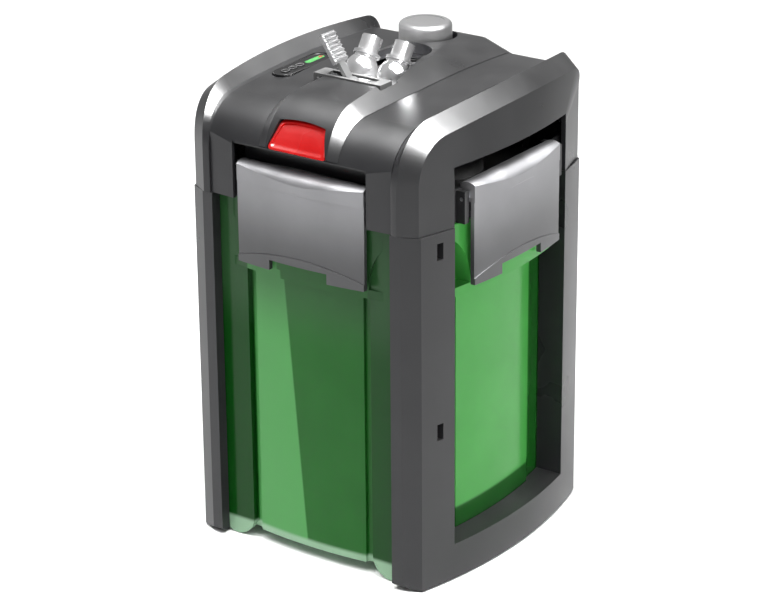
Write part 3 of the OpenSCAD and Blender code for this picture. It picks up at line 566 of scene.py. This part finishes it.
def spine_ring(u):
    b = lift(u)
    t = clamp01((profile(u, 0)[0] + FACE_Y) / BAND_SPREAD)
    h = mix(2.4, 9, b)
    wi, wo = mix(28, 17, t), mix(36, 42, ease(t * 1.6))
    foot, top = profile(u, 0.3), profile(u, h)
    return [place(-wo, foot), place(-wi, top), place(wi, top), place(wo, foot)]

RECESS_Z = 330.0
spine_start = 1 + math.degrees(math.asin((RECESS_Z + 1 - SHOULDER_Z) / SHOULDER_R)) / (180 - A_SHOULDER)
spine_us = [spine_start] + [u for u in STATIONS if spine_start + 0.01 < u <= 4]
spine = sweep("centre_band", [spine_ring(u) for u in spine_us], "chassis", "dark_plastic")

BUTTON_FOOT, BUTTON_HEAD, BUTTON_R = 27.0, 20.5, 120.0
BUTTON_LOW, BUTTON_MID_Z = RECESS_Z + 0.8, RECESS_Z + 23.8 - BUTTON_R

def button_seat(grow):
    """The opening for the red button: a foot wider than the head, and a shallow arc on top."""
    foot, head = BUTTON_FOOT + grow, BUTTON_HEAD + grow
    top = []
    for k in range(25):
        x = mix(-head, head, k / 24)
        top.append((x, BUTTON_MID_Z + math.sqrt((BUTTON_R + grow) ** 2 - x * x)))
    return [(-foot, RECESS_Z - 10), (-foot + 0.2, BUTTON_LOW)] + top + \
        [(foot - 0.2, BUTTON_LOW), (foot, RECESS_Z - 10)]

WELL_LEFT, WELL_RIGHT, WELL_FRONT, WELL_WAIST = -38, 28, -49, -27
WELL_X, WELL_Y, WELL_R = -9, 32, 22.4

def well_outline(inset):
    left, right, front = WELL_LEFT + inset, WELL_RIGHT - inset, WELL_FRONT + inset
    square = [(left, front), (right, front), (right, WELL_WAIST), (right - 1.4, WELL_WAIST)]
    rear = [arc(WELL_X, WELL_Y, WELL_R - inset, a) for a in range(-12, 193, 6)]
    return square + rear + [(left + 1.4, WELL_WAIST), (left, WELL_WAIST)]

PRIME_X, PRIME_Y, PRIME_RING = -21, 80, 25
carve(spine, prism(button_seat(0.3), -130, -60, "y"), prism(well_outline(0), 335, 400),
      prism(disc(PRIME_X, PRIME_Y, PRIME_RING), 300, 400))
soften(spine, 1.2, 3, 20)
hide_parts("centre_fascia")
print(spine.name, len(spine.data.vertices), "vertices")

# %% [markdown]
# ## The red button
# It is a pressed-in key that follows the curved front of the head: a raised rim all round, and a
# face sunk inside it. Rings of one outline are laid on the profile at different heights and
# drawn in step by step, and the rings lie closer together over the rim, which rounds it.

# %% Red button
def on_front(x, z, n):
    """A point on the head's curved front at height z, pushed out by n millimetres."""
    if z < SHOULDER_Z:
        return x, -FACE_Y - n, z
    return x, SHOULDER_Y - math.sqrt((SHOULDER_R + n) ** 2 - (z - SHOULDER_Z) ** 2), z

def rounded(corners, radii, steps=6):
    """Rounds each corner of a convex outline by its own radius."""
    out = []
    for k, (p, r) in enumerate(zip(corners, radii)):
        p = Vector(p)
        u = (Vector(corners[k - 1]) - p).normalized()
        v = (Vector(corners[(k + 1) % len(corners)]) - p).normalized()
        half = u.angle(v) / 2
        centre = p + (u + v).normalized() * (r / math.sin(half))
        start, end = p + u * r / math.tan(half) - centre, p + v * r / math.tan(half) - centre
        for j in range(steps + 1):
            out.append(centre + start.normalized().slerp(end.normalized(), j / steps) * r)
    return out

CAP_LEFT = [(-26.6, RECESS_Z + 1.1), (-20.8, RECESS_Z + 21.5), (-10, RECESS_Z + 23)]
CAP_RIGHT = [(-x, z) for x, z in reversed(CAP_LEFT)]
CAP = rounded(CAP_LEFT + CAP_RIGHT, [2.2, 4.2, 30, 30, 4.2, 2.2])
CAP_MID, CAP_HALF_W, CAP_HALF_H = Vector((0, RECESS_Z + 11.5)), 26.8, 11.5

def button_ring(inset, n):
    ring = []
    for p in CAP:
        d = p - CAP_MID
        q = CAP_MID + Vector((d.x * (1 - inset / CAP_HALF_W), d.y * (1 - inset / CAP_HALF_H)))
        ring.append(on_front(q.x, q.y, n))
    return ring

rings = [button_ring(*r) for r in ((0, -3), (0, 2.5), (0.5, 3.3), (1.6, 3.4), (2.5, 3.1), (3.0, 1.7),
                                   (5, 1.5), (7.5, 1.5), (9.5, 1.5))]
button = sweep("button_cap", rings, "red_button", "red_plastic", 50)
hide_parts("red_button")
print(button.name, len(button.data.vertices), "vertices")

# %% [markdown]
# ## The springs
# Each button stands on a coil spring wound from round wire. The spring stays on the head and
# is one swept wire of even pitch.

# %% Springs
def spring(name, node, centre, axis, radius, wire, turns, length):
    """A coil from its fixed end, centre, along axis."""
    axis = Vector(axis)
    across = axis.orthogonal().normalized()
    over = axis.cross(across)
    steps, rings = 18 * turns, []
    for i in range(steps + 1):
        a = 2 * math.pi * i / 18
        out = across * math.cos(a) + over * math.sin(a)
        mid = Vector(centre) + axis * (wire + (length - 2 * wire) * i / steps)
        rings.append([tuple(mid + out * (radius + wire * math.cos(q)) + axis * wire * math.sin(q))
                      for q in (math.radians(d) for d in range(0, 360, 45))])
    coil = sweep(name, rings, "chassis", "steel")
    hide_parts(node)
    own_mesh(coil)
    print(name, turns, "turns,", round(length, 1), "mm long")

low, high = box_mm("red_button_spring")
seat = ((low.x + high.x) / 2, high.y, (low.z + high.z) / 2)
spring("button_coil", "red_button_spring", seat, (0, -1, 0), 3.4, 0.4, 5,
       high.y - low.y)
low, high = box_mm("priming_spring")
seat = ((low.x + high.x) / 2, (low.y + high.y) / 2, low.z)
spring("priming_coil", "priming_spring", seat, (0, 0, 1), 8.0, 0.7, 7,
       high.z - low.z)

# %% [markdown]
# ## Grip ribs on the lever
# Seven raised ribs stop a wet finger from slipping. They are paler than the lever's plate, like
# the soft second shot of a two-colour moulding, and each is a small bar with rounded corners.

# %% Lever ribs
LEVER_AT, LEVER_LEAN = Vector((-6, -39, 364)), math.radians(33)
RIBS, FIRST_RIB, RIB_PITCH, RIB_H = 7, 19.3, 3.3, 1.7

def bar(x0, x1, y0, y1, z0, z1, pts, faces):
    """Adds a box in the lever's own upright frame, leaned over with the lever."""
    k = len(pts)
    for x in (x0, x1):
        for y in (y0, y1):
            for z in (z0, z1):
                p = Matrix.Rotation(-LEVER_LEAN, 3, "Y") @ Vector((x, y, z)) + LEVER_AT
                pts.append(tuple(p))
    faces += [tuple(k + i for i in f) for f in ((0, 1, 3, 2), (4, 6, 7, 5), (0, 4, 5, 1), (2, 3, 7, 6),
                                                (0, 2, 6, 4), (1, 5, 7, 3))]

pts, faces = [], []
for i in range(RIBS):
    foot = FIRST_RIB + i * RIB_PITCH
    bar(0.9, 2.75, -8.15, 8.15, foot, foot + RIB_H, pts, faces)
ribs = make_piece("lever_ribs", pts, faces, "lever", "light_plastic")
soften(ribs, 0.35, 2, 35)
print(ribs.name, RIBS, "ribs")

# %% [markdown]
# ## Key outlines and lamps
# Each key on the control panel carries a moulded outline, and the light guide ends in a small red
# lamp. Each is a thin bead of plastic, swept round a slot-shaped outline and joined to itself.

# %% Key outlines
def stadium(w, l, steps=10):
    """A slot-shaped outline, w wide and l long along Y, round the origin."""
    r, pts = w / 2, []
    for sign in (1, -1):
        for k in range(steps + 1):
            a = math.pi * k / steps
            pts.append((sign * r * math.cos(a), sign * (l / 2 - r + r * math.sin(a))))
    return pts

def ring_bead(name, cx, cy, z, w, l, wire, body, slot):
    """A thin bead of plastic laid round a slot-shaped outline, at height z."""
    outline = stadium(w, l)
    n, rings = len(outline), []
    for k, (x, y) in enumerate(outline):
        x0, y0 = outline[k - 1]
        x1, y1 = outline[(k + 1) % n]
        out = Vector((y1 - y0, x0 - x1)).normalized()
        rings.append([(cx + x + out.x * wire * math.cos(q), cy + y + out.y * wire * math.cos(q),
                       z + wire * math.sin(q)) for q in (math.radians(d) for d in range(0, 360, 60))])
    return sweep(name, rings, body, slot, 60, loop=True)

KEYS = ("key_down", "key_mode", "key_up")
for name in KEYS:
    low, high = box_mm(name)
    mid, size = (low + high) / 2, high - low
    ring_bead(name + "_outline", mid.x, mid.y, high.z - 0.05, size.x - 0.9, size.y - 0.9, 0.22, name,
              "grey_plastic")
low, high = box_mm("control_lens")
mid, size = (low + high) / 2, high - low
ring_bead("lens_frame", mid.x, mid.y, high.z - 0.1, size.x - 0.6, size.y - 0.6, 0.3, "chassis",
          "dark_plastic")
low, high = box_mm("light_bar")
ring_bead("lamp_end", (low.x + high.x) / 2, high.y - 3.4, high.z - 0.15, 1.6, 3.6, 0.5, "chassis",
          "red_plastic")
print("outlines on", len(KEYS), "keys, a lens frame and a lamp")

# %% [markdown]
# ## Filter pads
# Foam and fleece are cut a little oversize and squeezed in, so their edges bulge and their faces
# roll softly. Each pad is a grid of rings round a squarish outline, puffed between top and
# bottom, with a hole for the down tube.

# %% Pads
TUBE_X, TUBE_Y, TUBE_HOLE = -72, -70, 10

def pad(name, node, slot, puff, wave):
    """A pad in a node's box: its edge bulges by puff and its faces roll by wave millimetres."""
    low, high = box_mm(node)
    mid, half = (low + high) / 2, (high - low) / 2
    steps, rings = 72, []
    def ring(scale, z):
        pts = []
        for k in range(steps):
            a = 2 * math.pi * k / steps
            c, q = math.cos(a), math.sin(a)
            r = (abs(c) ** 5 + abs(q) ** 5) ** -0.2 * scale
            dz = wave * math.sin(3 * a + 5 * scale) * math.cos(7 * scale)
            pts.append((mid.x + half.x * r * c, mid.y + half.y * r * q,
                        mid.z + z - math.copysign(abs(dz), z)))
        return pts
    flat = half.z - 0.6
    for scale in (0.1, 0.35, 0.6, 0.8, 0.92):
        rings.append(ring(scale, -flat))
    for k in range(7):
        t = -1 + k / 3
        rings.append(ring(0.97 - puff + puff * math.sqrt(max(0, 1 - t * t)), flat * t * 0.96 or 0.01))
    for scale in (0.92, 0.8, 0.6, 0.35, 0.1):
        rings.append(ring(scale, flat))
    piece = sweep(name, rings, "chassis", slot, 60)
    carve(piece, prism(disc(TUBE_X, TUBE_Y, TUBE_HOLE), low.z - 5, high.z + 5))
    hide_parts(node)
    return piece

foam = pad("foam_block", "foam_upper", "foam_blue", 0.03, 0.3)
fleece = pad("fleece_pad", "prefilter_pad", "fleece_white", 0.05, 0.6)
print(foam.name, fleece.name)

# %% [markdown]
# ## Studio
# Dark glossy plastic is lit with reflections, not with brightness. Broad lamps
# that only show in reflections draw the long bright bands on the sloping edges, and a separate
# overhead lamp brightens the floor and the pale parts without greying the dark ones.

# %% Floor and lights
bpy.ops.mesh.primitive_plane_add(size=14, location=(0, 0, 0))
floor = bpy.context.object
floor.name = "studio_floor"
wear(floor.data, moulded("studio floor", (238, 238, 238), (244, 244, 244), (0.8, 0.9), bump=0.0))

world = bpy.data.worlds.new("studio")
bpy.context.scene.world = world
world.use_nodes = True
world.node_tree.nodes["Background"].inputs["Color"].default_value = (1, 1, 1, 1)
world.node_tree.nodes["Background"].inputs["Strength"].default_value = 0.35

LAMP_AIM = Vector((0, 0, 0.25))

def soft_light(name, direction, distance, size, watts, shows=True, brightens=True):
    """A flat lamp that faces the aim. It can show in reflections, brighten, or both."""
    data = bpy.data.lights.new(name, "AREA")
    data.shape = "RECTANGLE"
    data.size, data.size_y = size
    data.energy = watts
    lamp = bpy.data.objects.new(name, data)
    lamp.location = LAMP_AIM + Vector(direction).normalized() * distance
    lamp.rotation_euler = (lamp.location - LAMP_AIM).to_track_quat("Z", "Y").to_euler()
    lamp.visible_glossy = shows
    lamp.visible_diffuse = brightens
    bpy.context.scene.collection.objects.link(lamp)

soft_light("floor lamp", (-0.22, -0.3, 0.93), 3.0, (2.3, 2.3), 125, shows=False)
soft_light("band lamp", (0.35, -0.03, 0.94), 2.3, (2.4, 3.4), 3400, brightens=False)
bpy.context.scene.view_settings.view_transform = "Standard"
print("studio ready")
